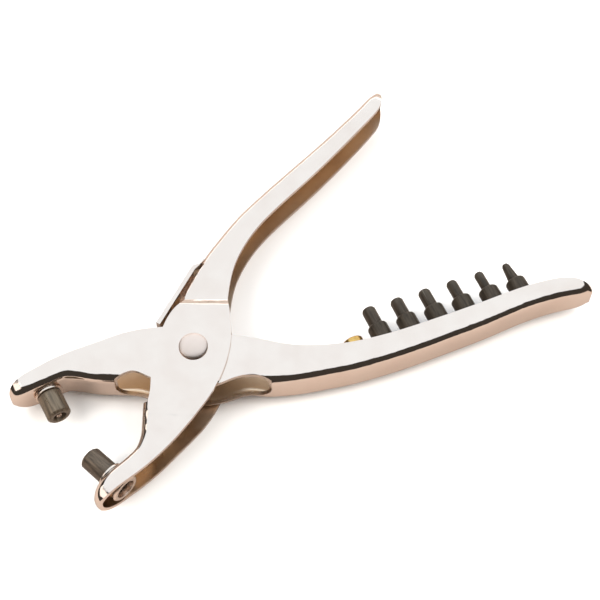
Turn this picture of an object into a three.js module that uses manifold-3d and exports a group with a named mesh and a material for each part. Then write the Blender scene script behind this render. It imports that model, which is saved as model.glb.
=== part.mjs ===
// Grommet setter: two pressed sheet-steel levers crossed on a rivet, with screw-in dies in the
// jaws and a row of spare punches stored in one handle. Millimetres, +Z up, the tool lies flat.
// The rivet axis is the Z axis; the underside of the rivet tail is z = 0.
import * as THREE from "three";
import { mergeVertices } from "three/addons/utils/BufferGeometryUtils.js";
import Module from "manifold-3d";

const wasm = await Module();
wasm.setup();

// ---- driving dimensions -----------------------------------------------------------------
const MID = 10.8; // height of the tool's middle plane
const SHEET = 1.5; // sheet thickness of both levers
const HALF = 7.5; // half the outside width of a lever's channel
const PIVOT_HALF = 9.3; // the front lever's cheeks step out to this round the pivot
const BEND = 3; // outside radius of the bends between web and cheeks
const GAP = 0.3; // clearance between pieces that move on each other
const SEAT = 0.2; // clearance between pieces that are fixed to each other

const DIE_RADIUS = 52.4; // distance from the pivot to the middle of the die faces
const UPPER_ANGLE = 206.4; // direction of the upper die face from the pivot, degrees
const LOWER_ANGLE = 227.3; // direction of the lower die face from the pivot, open
const UPPER_LEAN = 2; // the dies stand parallel a little before they meet, with an eyelet between
const LOWER_LEAN = 1;
const UPPER_REACH = 10.8; // how far the upper die stands out of its web
const LOWER_REACH = 11.5;
const UPPER_DIE_R = 4.4;
const LOWER_DIE_R = 4.2;
const SHANK_R = 3.4; // screw shank of a die
const BUSH_BORE = 3.7;
const BUSH_R = 4.5; // barrel of a socket bush
const BUSH_RING_R = 5.4; // its ring inside the channel
const COLLAR_R = 5.1; // its collar outside the web
const COLLAR = 0.8;
const COLLAR_SEAT = 0.4; // clearance between a leaning collar and the web
const WEB_HOLE_R = BUSH_R + SEAT;
const DIE_SHANK = 4.9; // how far a die's shank goes into its bush
const UPPER_BUSH_LENGTH = 4.7; // from the web's outside to the inner end of a bush
const LOWER_BUSH_LENGTH = 6.9; // this one's ring stands just clear of the cheeks' edges
const UPPER_RECESS = 2.4; // depth of the recess in the upper die's face
const UPPER_RECESS_R = 2.5; // its radius at the face
const PIN_R = 1.1; // the pin in that recess

// The slot through the storage lever's web. Its lower corners are round, and its upper edge, given
// in plan, runs through the bend with a scallop on either side of the pivot.
const SLOT = { low: 7.4, reach: 28, corner: 5 };
const SLOT_EDGE = [
  [-27.8, -11.6], [-24, -9.4], [-20.5, -8.8], [-15, -11.1], [-8, -14], [0, -15], [6, -14.5],
  [10.2, -13.3], [14.5, -11.4], [18.5, -10.3], [23.8, -10.5], [28, -12.2],
];
const TONGUE_HALF = 6.8; // half the width of the slit tongue

const RIVET_R = 3;
const RIVET_HEAD_R = 5.2;
const RIVET_HEAD = 1.4; // its head, a low dome on a thin rim
const RIVET_RIM = 0.2;
const TAIL_R = 4.1; // the rivet's spread tail
const TAIL = 0.8;
const BORE_R = RIVET_R + GAP;
const WASHER_R = 4.9;
const WASHER = 0.4;
const SLEEVE_R = 4.3;

const WIRE_R = 0.8; // return spring
const COIL_R = 5.7;
const COIL_TURNS = 3;
const COIL_GAP = 0.35; // between its turns

const PITCH = 11.13; // spacing of the stored tools along the straight rack
const RACK_MIDDLE = [96.5, 13.9]; // a point of the rack's top, between the third and fourth punch
const RACK_SLOPE = 20.4; // direction of the rack from +X, degrees
const TOOL_LEAN = 3.6; // the stored tools lean towards the pivot
const TOOL_SEAT = 0.5; // clearance under a leaning tool
const RACK_HALF = 5; // half its width
const RACK_DEPTH = 2.6; // depth of its flanges
const RACK_SHEET = 1.2;
const RACK_ENDS = [-47.2, 36.4]; // along the rack from that point
const STUD_PLACES = [-45.2, 34.2];
const STUD_R = 1.2;
const STUD_HEAD_R = 2;
const STUD_LENGTHS = [4.75, 3.35]; // from the rack's top down to the web
const BASE_R = 3.85; // body of a stored punch
const BASE = 9.8;
const TUBE = 7.5; // its cutting tube
const TUBE_RADII = [2.65, 2.5, 2.4, 2.15, 1.85, 1.5];
const STUB_R = 2.2;
const STUB = 3;
const ANVIL_R = 4.1;
const ANVIL = 6.9; // height of the brass anvil
const SHOULDER = 1.2; // rounding of a punch's shoulder

// Rows along a lever's web, nose first: x, y of the outside of the web, depth of the cheeks from
// there, half the outside width, outside bend radius.
const STORAGE_ROWS = [
  [-63.5, -19.7, 6.8, HALF, BEND],
  [-57.7, -16.58, 6.6, HALF, BEND],
  [-51.4, -13.45, 7.2, HALF, BEND],
  [-47.6, -11.56, 8.6, HALF, BEND],
  [-45.6, -10.7, 9.6, HALF, BEND],
  [-42.0, -10.8, 11.6, HALF, BEND],
  [-35.0, -12.0, 15.4, HALF, BEND],
  [-28.0, -12.5, 19.2, HALF, 3.6],
  [-20.0, -13.5, 22.9, HALF, 4.6],
  [-10.0, -16.0, 26.1, HALF, 4.2],
  [0.0, -17.2, 27.3, HALF, 4.0],
  [10.0, -16.2, 24.8, HALF, 4.2],
  [19.5, -13.2, 19.1, HALF, 4.6],
  [28.0, -13.2, 16.4, HALF, 3.6],
  [38.1, -12.0, 13.7, HALF, BEND],
  [49.0, -9.8, 11.7, HALF, BEND],
  [57.4, -7.9, 10.6, HALF, BEND],
  [74.3, -2.5, 9.7, HALF, BEND],
  [90.4, 3.9, 9.2, HALF, BEND],
  [106.7, 10.8, 8.7, HALF, BEND],
  [122.0, 17.9, 8.1, HALF, BEND],
  [134.0, 22.0, 8.0, 7.2, BEND],
  [141.4, 23.5, 7.6, 6.9, BEND],
  [146.7, 24.5, 6.8, 6.6, BEND],
];
const JAW_ROWS = [
  [-34.3, -54.1, 6.4, HALF, BEND],
  [-31.5, -51.1, 6.4, HALF, BEND],
  [-26.8, -46.0, 6.8, HALF, BEND],
  [-22.4, -41.9, 7.7, HALF, BEND],
  [-18.8, -37.9, 8.9, HALF, BEND],
  [-17.3, -33.2, 12.4, HALF, BEND],
  [-17.0, -28.3, 16.8, 8.4, BEND],
  [-16.9, -24.0, 20.8, PIVOT_HALF, BEND],
  [-16.9, -16.6, 25.2, PIVOT_HALF, BEND],
  [-16.9, -8.8, 28.1, PIVOT_HALF, BEND],
  [-16.9, -2.0, 29.8, PIVOT_HALF, BEND],
  [-16.9, 4.8, 30.6, PIVOT_HALF, BEND],
  [-16.9, 10.5, 30.3, PIVOT_HALF, BEND],
  [-16.9, 16.6, 29.1, PIVOT_HALF, BEND],
  [-16.9, 21.0, 28.5, HALF, BEND],
  [-16.9, 24.0, 28.3, HALF, BEND],
];
const HANDLE_ROWS = [
  [-9.2, 15.0, 22.6, HALF, BEND],
  [-3.6, 27.0, 16.6, HALF, BEND],
  [0.8, 36.4, 13.2, HALF, BEND],
  [5.6, 44.6, 10.8, HALF, BEND],
  [14.3, 57.4, 9.3, HALF, BEND],
  [24.2, 68.8, 9.0, HALF, BEND],
  [33.9, 79.2, 9.0, HALF, BEND],
  [44.0, 89.9, 8.4, HALF, BEND],
  [54.0, 101.0, 7.7, HALF, BEND],
  [63.4, 112.6, 7.4, 7.0, BEND],
  [68.3, 119.6, 6.8, 6.5, BEND],
];
const FOLD_Y = 21; // where the centre and the handle of the front lever join

// ---- materials ------------------------------------------------------------------------------
const plated = new THREE.MeshStandardMaterial({ color: 0xd9d2cc, roughness: 0.2, metalness: 1 });
const blackened = new THREE.MeshStandardMaterial({ color: 0x26241f, roughness: 0.5, metalness: 0.8 });
const brass = new THREE.MeshStandardMaterial({ color: 0xc9a24a, roughness: 0.3, metalness: 1 });
const spring = new THREE.MeshStandardMaterial({ color: 0x8d8a86, roughness: 0.35, metalness: 1 });

const part = new THREE.Group();

// ---- helpers --------------------------------------------------------------------------------
function solid(geometry) {
  const bare = geometry.clone();
  bare.deleteAttribute("normal");
  bare.deleteAttribute("uv");
  const merged = mergeVertices(bare, 1e-4);
  return new wasm.Manifold(
    new wasm.Mesh({
      numProp: 3,
      vertProperties: merged.attributes.position.array,
      triVerts: new Uint32Array(merged.index.array),
    }),
  );
}

function geometryOf(manifold) {
  const mesh = manifold.getMesh();
  const geometry = new THREE.BufferGeometry();
  geometry.setAttribute("position", new THREE.BufferAttribute(mesh.vertProperties, 3));
  geometry.setIndex(new THREE.BufferAttribute(mesh.triVerts, 1));
  const flat = geometry.toNonIndexed();
  flat.computeVertexNormals();
  return flat;
}

function add(name, shape, material) {
  const geometry = shape.isBufferGeometry ? shape : geometryOf(shape);
  const mesh = new THREE.Mesh(geometry, material);
  mesh.name = name;
  part.add(mesh);
}

// A solid through closed sections of equal length, each an array of points.
function loft(sections, outline) {
  const count = sections[0].length;
  const positions = sections.flat().flatMap((p) => [p.x, p.y, p.z]);
  const index = [];
  for (let i = 0; i + 1 < sections.length; i += 1) {
    for (let j = 0; j < count; j += 1) {
      const a = i * count + j;
      const b = i * count + ((j + 1) % count);
      index.push(a, b, a + count);
      index.push(b, b + count, a + count);
    }
  }
  const last = (sections.length - 1) * count;
  const clockwise = THREE.ShapeUtils.isClockWise(outline);
  for (const [a, b, c] of THREE.ShapeUtils.triangulateShape(outline, [])) {
    const corner = [outline[a], outline[b], outline[c]];
    const [d, e] = THREE.ShapeUtils.isClockWise(corner) === clockwise ? [b, c] : [c, b];
    index.push(a, e, d);
    index.push(last + a, last + d, last + e);
  }
  const geometry = new THREE.BufferGeometry();
  geometry.setAttribute("position", new THREE.Float32BufferAttribute(positions, 3));
  geometry.setIndex(index);
  const made = solid(geometry);
  if (made.volume() > 0) return made;
  for (let i = 0; i < index.length; i += 3) [index[i], index[i + 1]] = [index[i + 1], index[i]];
  geometry.setIndex(index);
  return solid(geometry);
}

// A web line that can be read at any distance along it.
function spine(rows, side) {
  const line = new THREE.CatmullRomCurve3(rows.map(([x, y, depth]) => new THREE.Vector3(x, y, depth)));
  const steps = (rows.length - 1) * 24;
  const samples = [];
  let length = 0;
  for (let i = 0; i <= steps; i += 1) {
    const p = line.getPoint(i / steps);
    const at = (i / steps) * (rows.length - 1);
    const row = Math.min(Math.floor(at), rows.length - 2);
    const half = THREE.MathUtils.lerp(rows[row][3], rows[row + 1][3], at - row);
    const bend = THREE.MathUtils.lerp(rows[row][4], rows[row + 1][4], at - row);
    if (i > 0) length += Math.hypot(p.x - samples[i - 1].x, p.y - samples[i - 1].y);
    samples.push({ x: p.x, y: p.y, depth: p.z, half, bend, s: length });
  }
  const at = (s) => {
    const k = Math.max(1, samples.findIndex((q) => q.s >= Math.min(s, length)));
    const [a, b] = [samples[k - 1], samples[k]];
    const f = (Math.min(s, length) - a.s) / (b.s - a.s);
    const mix = (key) => THREE.MathUtils.lerp(a[key], b[key], f);
    return { x: mix("x"), y: mix("y"), depth: mix("depth"), half: mix("half"), bend: mix("bend") };
  };
  const frame = (s) => {
    const here = at(s);
    const [before, after] = [at(Math.max(0, s - 1)), at(Math.min(length, s + 1))];
    const run = Math.hypot(after.x - before.x, after.y - before.y);
    const along = new THREE.Vector2((after.x - before.x) / run, (after.y - before.y) / run);
    return { ...here, along, inward: new THREE.Vector2(-along.y * side, along.x * side) };
  };
  return { length, at, frame };
}

// How full a rounded end of length reach is, at distance q from its tip.
function fullness(q, reach) {
  if (q >= reach) return 1;
  return Math.sqrt(Math.max(0, 1 - (1 - q / reach) ** 2));
}

// Distances along a web line: close together at rounded ends, even between them.
function stationsOf(length, inset, noseReach, tipReach) {
  const stations = [];
  const ends = 6;
  const first = noseReach ? inset + noseReach : 0;
  const last = tipReach ? length - inset - tipReach : length;
  for (let i = 0; noseReach && i < ends; i += 1) {
    stations.push(inset + noseReach * (1 - Math.cos(((i + 0.35) / ends) * Math.PI * 0.5)));
  }
  const count = Math.round((last - first) / 4.6);
  for (let i = 0; i <= count; i += 1) stations.push(first + ((last - first) * i) / count);
  for (let i = ends - 1; tipReach && i >= 0; i -= 1) {
    const q = tipReach * (1 - Math.cos(((i + 0.35) / ends) * Math.PI * 0.5));
    stations.push(length - inset - q);
  }
  return stations;
}

const OPEN_END = { reach: 0, rise: 0 };
const TIP_ROUND = 6; // rounding of a handle's tip across its width

// A point of a section in space: p.x goes inward from the place f, p.y goes up from the middle plane.
function onSection(f, p) {
  return new THREE.Vector3(f.x + f.inward.x * p.x, f.y + f.inward.y * p.x, MID + p.y);
}

// The body that fills a channel: rounded along its web and its closed ends, flat on its open side.
// With an inset it is the hollow that the sheet leaves. At a closed end the web rises by the share of
// the depth called rise, and the cheeks' edges come down to meet it.
function filled(line, inset, { nose = OPEN_END, tip = OPEN_END, extra = 0 }) {
  const noseReach = nose.reach && nose.reach - inset;
  const tipReach = tip.reach && tip.reach - inset;
  const arc = 4;
  let outline = null;
  const sections = stationsOf(line.length, inset, noseReach, tipReach).map((s) => {
    const f = line.frame(s);
    const fromNose = noseReach ? s - inset : Infinity;
    const fromTip = tipReach ? line.length - inset - s : Infinity;
    const full = Math.min(fullness(fromNose, noseReach), fullness(fromTip, tipReach));
    const round = Math.min(fullness(fromNose, 4.5 - inset), fullness(fromTip, TIP_ROUND - inset));
    const half = f.half - inset - (3 - inset * 0.4) * (1 - round);
    const closing = (f.depth - inset) * (1 - full);
    const { rise } = fromNose < fromTip ? nose : tip;
    const web = inset + closing * rise;
    const open = f.depth - closing * (0.96 - rise) + extra;
    const radius = Math.min(f.bend - inset, half - 0.2, (open - web) * 0.9);
    const flat = [new THREE.Vector2(open, -half)];
    const bendPoint = (k, side) => {
      const turn = (k / arc) * Math.PI * 0.5;
      const across = half - radius * (1 - Math.cos(turn));
      return new THREE.Vector2(web + radius * (1 - Math.sin(turn)), side * across);
    };
    for (let k = 0; k <= arc; k += 1) flat.push(bendPoint(k, -1));
    for (let k = arc; k >= 0; k -= 1) flat.push(bendPoint(k, 1));
    flat.push(new THREE.Vector2(open, half));
    outline = outline ?? flat;
    return flat.map((p) => onSection(f, p));
  });
  return loft(sections, outline);
}

function channel(line, ends) {
  return filled(line, 0, ends).subtract(filled(line, SHEET, { ...ends, extra: 6 }));
}

const CUT_LOW = -10; // heights that a cut through a whole lever runs between
const CUT_HIGH = 40;

// A plate with the given outline in plan, from one height to another.
function plate(shape, low = CUT_LOW, high = CUT_HIGH) {
  const settings = { depth: high - low, bevelEnabled: false, curveSegments: 5 };
  return solid(new THREE.ExtrudeGeometry(shape, settings).translate(0, 0, low));
}

function planPoints(points) {
  return points.map(([x, y]) => new THREE.Vector2(x, y));
}

function outlineOf(points) {
  return new THREE.Shape(planPoints(points));
}

// A turned piece: profile of [radius, distance along the axis], starting and ending on the axis
// or closed on itself.
function turned(profile, origin, direction, segments = 32) {
  const lathe = new THREE.LatheGeometry(
    profile.map(([r, h]) => new THREE.Vector2(r, h)),
    segments,
  );
  const turn = new THREE.Quaternion().setFromUnitVectors(
    new THREE.Vector3(0, 1, 0),
    direction.clone().normalize(),
  );
  lathe.applyQuaternion(turn);
  lathe.translate(origin.x, origin.y, origin.z);
  const made = solid(lathe);
  if (made.volume() > 0) return made;
  return solid(flipped(lathe));
}

function flipped(geometry) {
  const turned = geometry.clone();
  const index = turned.index.array;
  for (let i = 0; i < index.length; i += 3) [index[i], index[i + 1]] = [index[i + 1], index[i]];
  return turned;
}

function cylinder(radius, from, to, segments = 32) {
  const axis = to.clone().sub(from);
  return turned([[0, 0], [radius, 0], [radius, axis.length()], [0, axis.length()]], from, axis, segments);
}

function tube(inner, outer, low, high) {
  return [[inner, low], [outer, low], [outer, high], [inner, high], [inner, low]];
}

const up = new THREE.Vector3(0, 0, 1);
const rad = THREE.MathUtils.degToRad;
const onAxis = (z) => new THREE.Vector3(0, 0, z);
const polar = (radius, degrees) =>
  new THREE.Vector3(radius * Math.cos(rad(degrees)), radius * Math.sin(rad(degrees)), MID);
const heading = (degrees) => new THREE.Vector3(Math.cos(rad(degrees)), Math.sin(rad(degrees)), 0);

// ---- dies: their axes are nearly square to the lines from the pivot, so the faces meet when closed
const upperWay = heading(UPPER_ANGLE + 90 + UPPER_LEAN);
const lowerWay = heading(LOWER_ANGLE - 90 + LOWER_LEAN);
const upperSeat = polar(DIE_RADIUS, UPPER_ANGLE).addScaledVector(upperWay, -UPPER_REACH);
const lowerSeat = polar(DIE_RADIUS, LOWER_ANGLE).addScaledVector(lowerWay, -LOWER_REACH);

// ---- storage lever ---------------------------------------------------------------------------------
const storageLine = spine(STORAGE_ROWS, 1);
const pivotBore = cylinder(BORE_R, onAxis(-5), onAxis(30), 32);

function webSlot() {
  const { low, reach, corner } = SLOT;
  const front = -30; // well clear of the web
  const plan = new THREE.Shape();
  plan.moveTo(SLOT_EDGE[0][0], front);
  plan.lineTo(...SLOT_EDGE[0]);
  plan.splineThru(planPoints(SLOT_EDGE.slice(1)));
  plan.lineTo(SLOT_EDGE.at(-1)[0], front);
  const side = new THREE.Shape();
  side.moveTo(-reach, CUT_HIGH);
  side.lineTo(-reach, low + corner);
  side.absarc(-reach + corner, low + corner, corner, Math.PI, Math.PI * 1.5, false);
  side.absarc(reach - corner, low + corner, corner, Math.PI * 1.5, Math.PI * 2, false);
  side.lineTo(reach, CUT_HIGH);
  const across = new THREE.ExtrudeGeometry(side, { depth: -front, bevelEnabled: false });
  return plate(plan, low - 1).intersect(solid(across.rotateX(Math.PI / 2)));
}

function seatHole(seat, way) {
  const from = seat.clone().addScaledVector(way, -3.5);
  return cylinder(WEB_HOLE_R, from, seat.clone().addScaledVector(way, 3), 28);
}

const rackAlong = heading(RACK_SLOPE);
const onRack = (distance) => ({
  x: RACK_MIDDLE[0] + rackAlong.x * distance,
  y: RACK_MIDDLE[1] + rackAlong.y * distance,
  inward: new THREE.Vector2(-rackAlong.y, rackAlong.x),
});
const toolWay = heading(RACK_SLOPE + 90 + TOOL_LEAN);
const storedAt = [0, 1, 2, 3, 4, 5, 6].map((i) => ({
  ...onRack(PITCH * (i - 3.5)),
  inward: new THREE.Vector2(toolWay.x, toolWay.y),
}));
const studsAt = STUD_PLACES.map(onRack);
const inward3 = (f) => new THREE.Vector3(f.inward.x, f.inward.y, 0);
const footOf = (f, height) =>
  new THREE.Vector3(f.x + f.inward.x * height, f.y + f.inward.y * height, MID);

function storageLever() {
  const body = channel(storageLine, { nose: { reach: 8, rise: 0.38 }, tip: { reach: 12, rise: 0.2 } });
  return body
    .subtract(pivotBore)
    .subtract(webSlot())
    .subtract(seatHole(upperSeat, upperWay));
}

// ---- front lever -------------------------------------------------------------------------------------
function frontLever() {
  const centre = channel(spine(JAW_ROWS, -1), { nose: { reach: 8, rise: 0.6 } });
  const neck = new THREE.Shape();
  neck.moveTo(-40, -21.6);
  neck.lineTo(-15.2, -21.6);
  neck.splineThru(planPoints([
    [-14.5, -17], [-14.5, -9], [-13.8, -2.4], [-11.4, 7.6], [-8.6, 14.2], [-4.4, 19.8], [-3.5, 23],
    [-3.4, 26],
  ]));
  neck.lineTo(-40, 26);
  const below = outlineOf([[-60, -80], [60, -80], [60, FOLD_Y], [-60, FOLD_Y]]);
  const lower = centre.subtract(plate(neck)).intersect(plate(below));

  const handle = channel(spine(HANDLE_ROWS, -1), { tip: { reach: 10, rise: 0.12 } });
  const slit = new THREE.Shape();
  slit.moveTo(2.6, 35.9);
  slit.splineThru(planPoints([[-0.2, 31.4], [-2.2, 27.2], [-3.4, 23.6], [-4.6, 19.6]]));
  slit.lineTo(-20, 18);
  slit.lineTo(-20, 38);
  slit.lineTo(-1.4, 38.2);
  const join = FOLD_Y - 0.02; // the two halves overlap by this much, so that they join
  const above = outlineOf([[-60, join], [120, join], [120, 160], [-60, 160]]);
  const upper = handle.subtract(plate(slit)).intersect(plate(above));

  // The slit web is a flat tongue that steps outward and ends on the other lever: the open stop.
  const tongue = outlineOf([
    [-14.1, 11.2], [-12.7, 10.5], [-0.9, 33.9], [0.6, 35.6], [3.0, 38.6], [2.0, 38.2], [0.6, 36.2],
    [-1.6, 35.6], [-2.3, 34.6],
  ]);
  return lower
    .add(upper)
    .add(plate(tongue, MID - TONGUE_HALF, MID + TONGUE_HALF))
    .subtract(pivotBore)
    .subtract(seatHole(lowerSeat, lowerWay));
}

add("storage_lever", storageLever(), plated);
add("front_lever", frontLever(), plated);

// ---- pivot ---------------------------------------------------------------------------------------------
function pivotRivet() {
  const top = MID + PIVOT_HALF + SEAT;
  const profile = [
    [0, 0], [TAIL_R - 0.6, 0], [TAIL_R, 0.35], [TAIL_R, TAIL], [RIVET_R, TAIL], [RIVET_R, top],
    [RIVET_HEAD_R, top],
  ];
  for (let i = 0; i <= 6; i += 1) {
    const turn = (i / 6) * Math.PI * 0.5;
    const rise = RIVET_RIM + (RIVET_HEAD - RIVET_RIM) * Math.sin(turn);
    profile.push([RIVET_HEAD_R * Math.cos(turn * 0.999), top + rise]);
  }
  profile[profile.length - 1][0] = 0;
  return turned(profile, onAxis(0), up, 32);
}

const washerLow = MID - PIVOT_HALF - SEAT - WASHER;
add("pivot_rivet", pivotRivet(), plated);
const washerProfile = tube(RIVET_R + SEAT, WASHER_R, washerLow, washerLow + WASHER);
add("tail_washer", turned(washerProfile, onAxis(0), up, 32), plated);
const sleeveHalf = HALF - SHEET - GAP;
add(
  "spacer_sleeve",
  turned(tube(RIVET_R + GAP, SLEEVE_R, MID - sleeveHalf, MID + sleeveHalf), onAxis(0), up, 28),
  plated,
);

// A torsion spring round the sleeve: one leg lies along each handle's web and pushes it outward.
function returnSpring() {
  const points = [];
  const pitch = WIRE_R * 2 + COIL_GAP;
  const farLeg = 72.4; // direction of the leg in the front handle
  const nearLeg = -4; // and of the one in the storage handle
  const legStart = 12; // straight run from the coil to the first leg's bend
  const startAngle = farLeg + 90;
  const endAngle = 270 + nearLeg + 360 * COIL_TURNS;
  const rise = ((endAngle - startAngle) / 360) * pitch;
  const low = MID - rise / 2;
  const start = polar(COIL_R, startAngle);
  points.push(new THREE.Vector3(8.05, 42.7, low));
  const bend = start.clone().addScaledVector(heading(farLeg), legStart);
  points.push(new THREE.Vector3(bend.x, bend.y, low));
  const steps = 48;
  for (let i = 0; i <= steps; i += 1) {
    const angle = startAngle + ((endAngle - startAngle) * i) / steps;
    const p = polar(COIL_R, angle);
    points.push(new THREE.Vector3(p.x, p.y, low + (rise * i) / steps));
  }
  points.push(new THREE.Vector3(12, -6.5, low + rise));
  points.push(new THREE.Vector3(41, -8.7, low + rise));
  const path = new THREE.CatmullRomCurve3(points, false, "centripetal");
  const wire = new THREE.Shape();
  wire.absarc(0, 0, WIRE_R, 0, Math.PI * 2, false);
  return new THREE.ExtrudeGeometry(wire, { steps: 120, extrudePath: path, curveSegments: 4 });
}
add("return_spring", solid(returnSpring()), spring);

// ---- dies and their socket bushes ----------------------------------------------------------------------
const bushProfile = (length) => [
  [BUSH_BORE, -COLLAR - COLLAR_SEAT],
  [COLLAR_R, -COLLAR - COLLAR_SEAT],
  [COLLAR_R, -COLLAR_SEAT],
  [BUSH_R, -COLLAR_SEAT],
  [BUSH_R, SHEET + SEAT * 2],
  [BUSH_R + 0.2, SHEET + SEAT * 2],
  [BUSH_RING_R, SHEET + 1.4],
  [BUSH_RING_R, length - 0.5],
  [BUSH_RING_R - 0.5, length],
  [BUSH_BORE, length],
  [BUSH_BORE, -COLLAR - COLLAR_SEAT],
];
const inwardOf = (way) => way.clone().negate();
const upperBush = turned(bushProfile(UPPER_BUSH_LENGTH), upperSeat, inwardOf(upperWay), 28);
const lowerBush = turned(bushProfile(LOWER_BUSH_LENGTH), lowerSeat, inwardOf(lowerWay), 28);
add("upper_socket_bush", upperBush, plated);
add("lower_socket_bush", lowerBush, plated);

const DIE_FOOT = COLLAR + COLLAR_SEAT + SEAT;
const upperDie = [
  [0, -DIE_SHANK],
  [SHANK_R - 0.5, -DIE_SHANK],
  [SHANK_R, -DIE_SHANK + 0.5],
  [SHANK_R, DIE_FOOT],
  [UPPER_DIE_R, DIE_FOOT],
  [UPPER_DIE_R, UPPER_REACH - 0.7],
  [UPPER_DIE_R - 0.7, UPPER_REACH],
  [UPPER_RECESS_R, UPPER_REACH],
  [UPPER_RECESS_R - 0.3, UPPER_REACH - UPPER_RECESS],
  [0, UPPER_REACH - UPPER_RECESS],
];
const lowerDie = [
  [0, -DIE_SHANK],
  [SHANK_R - 0.5, -DIE_SHANK],
  [SHANK_R, -DIE_SHANK + 0.5],
  [SHANK_R, DIE_FOOT],
  [LOWER_DIE_R, DIE_FOOT],
  [LOWER_DIE_R, LOWER_REACH - 0.8],
  [LOWER_DIE_R - 0.8, LOWER_REACH],
  [2.4, LOWER_REACH],
  [1.5, LOWER_REACH - 0.8],
  [0, LOWER_REACH - 0.8],
];
add("upper_die", turned(upperDie, upperSeat, upperWay, 28), blackened);
add("lower_die", turned(lowerDie, lowerSeat, lowerWay, 28), blackened);
const pinProfile = [
  [0, SEAT - UPPER_RECESS], [PIN_R, SEAT - UPPER_RECESS], [PIN_R, -0.8], [PIN_R - 0.3, -0.4],
  [PIN_R - 0.5, -0.4], [PIN_R - 0.6, -1.3], [0, -1.3],
];
const upperFace = upperSeat.clone().addScaledVector(upperWay, UPPER_REACH);
add("upper_die_pin", turned(pinProfile, upperFace, upperWay, 14), plated);

// ---- stored tools ---------------------------------------------------------------------------------------
function punchRack() {
  const corner = 0.5;
  const [low, half, inner] = [-RACK_DEPTH, RACK_HALF, RACK_HALF - RACK_SHEET];
  const ring = [
    [low, -half], [-corner, -half], [0, -half + corner], [0, half - corner], [-corner, half], [low, half],
    [low, inner], [-RACK_SHEET, inner], [-RACK_SHEET, -inner], [low, -inner],
  ].map(([n, z]) => new THREE.Vector2(n, z));
  const sections = RACK_ENDS.map((distance) => {
    const f = onRack(distance);
    return ring.map((p) => onSection(f, p));
  });
  const seats = storedAt.map((f) => cylinder(STUB_R + GAP, footOf(f, -4), footOf(f, 2), 16));
  const studs = studsAt.map((f) => cylinder(STUD_R + SEAT, footOf(f, -4), footOf(f, 2), 12));
  return loft(sections, ring).subtract(wasm.Manifold.union([...seats, ...studs]));
}
add("punch_rack", punchRack(), plated);

// Studs on the web carry the rack; each ends just above the web's inner face.
studsAt.forEach((f, i) => {
  const low = -STUD_LENGTHS[i];
  const profile = [
    [0, low], [STUD_R, low], [STUD_R, SEAT], [STUD_HEAD_R, SEAT],
    [STUD_HEAD_R - 0.4, SEAT + 0.5], [0, SEAT + 0.7],
  ];
  add(`rack_stud_${i + 1}`, turned(profile, footOf(f, 0), inward3(f), 14), plated);
});

storedAt.slice(1).forEach((f, i) => {
  const r = TUBE_RADII[i];
  const root = i === 5 ? 2.2 : r;
  const top = BASE + TUBE;
  const profile = [
    [0, -STUB], [STUB_R, -STUB], [STUB_R, 0], [BASE_R - 0.3, 0], [BASE_R, 0.3], [BASE_R, BASE - SHOULDER],
    [BASE_R - 0.35, BASE - 0.35], [BASE_R - SHOULDER, BASE], [root + 0.35, BASE], [root, BASE + 0.4],
    [r, top - 0.9], [r - 0.5, top], [r - 0.8, top], [r - 0.9, top - 2], [0, top - 2],
  ];
  add(`punch_${i + 1}`, turned(profile, footOf(f, TOOL_SEAT), inward3(f), 20), blackened);
});

const anvil = [
  [0, -STUB], [STUB_R, -STUB], [STUB_R, 0], [ANVIL_R, 0], [ANVIL_R, ANVIL - 0.5],
  [ANVIL_R - 0.5, ANVIL], [0, ANVIL],
];
add("brass_anvil", turned(anvil, footOf(storedAt[0], TOOL_SEAT), inward3(storedAt[0]), 32), brass);

export default part;
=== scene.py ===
"""Grommet setter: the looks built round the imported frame. Lengths are in millimetres until a mesh is made."""
import math

import bpy
import numpy as np
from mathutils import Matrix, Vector


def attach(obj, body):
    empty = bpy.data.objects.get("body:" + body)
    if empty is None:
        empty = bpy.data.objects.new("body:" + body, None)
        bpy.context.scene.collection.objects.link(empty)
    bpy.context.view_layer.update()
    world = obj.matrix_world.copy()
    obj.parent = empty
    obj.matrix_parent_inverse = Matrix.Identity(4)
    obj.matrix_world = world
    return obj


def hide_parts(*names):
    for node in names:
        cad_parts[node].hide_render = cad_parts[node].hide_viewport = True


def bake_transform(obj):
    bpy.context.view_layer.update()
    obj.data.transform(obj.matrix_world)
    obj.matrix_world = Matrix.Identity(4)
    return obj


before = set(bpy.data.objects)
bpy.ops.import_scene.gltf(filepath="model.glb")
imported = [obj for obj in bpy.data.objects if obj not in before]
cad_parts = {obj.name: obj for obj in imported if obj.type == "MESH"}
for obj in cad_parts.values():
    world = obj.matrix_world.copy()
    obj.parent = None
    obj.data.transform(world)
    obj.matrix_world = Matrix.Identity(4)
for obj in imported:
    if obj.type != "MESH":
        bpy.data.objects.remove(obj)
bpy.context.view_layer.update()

MM = 0.001

# ---- driving dimensions, the same as the CAD's ---------------------------------------------------
MID = 10.8
SHEET = 1.5
HALF = 7.5
PIVOT_HALF = 9.3
BEND = 3
GAP = 0.3
SEAT = 0.2
DIE_RADIUS = 52.4
UPPER_ANGLE = 206.4
LOWER_ANGLE = 227.3
UPPER_LEAN = 2
LOWER_LEAN = 1
UPPER_REACH = 10.8
LOWER_REACH = 11.5
UPPER_DIE_R = 4.4
LOWER_DIE_R = 4.2
LOWER_CUP_R = 2.4
LOWER_CUP = 0.8
SHANK_R = 3.4
DIE_SHANK = 4.9
SHANK_CHAMFER = 0.5
BUSH_BORE = 3.7
BUSH_R = 4.5
BUSH_RING_R = 5.4
UPPER_BUSH_LENGTH = 4.7
LOWER_BUSH_LENGTH = 6.9
UPPER_RECESS = 2.4
UPPER_RECESS_R = 2.5
PIN_R = 1.1
COLLAR_R = 5.1
COLLAR = 0.8
COLLAR_SEAT = 0.4
DIE_FOOT = COLLAR + COLLAR_SEAT + SEAT
RIVET_R = 3
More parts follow.
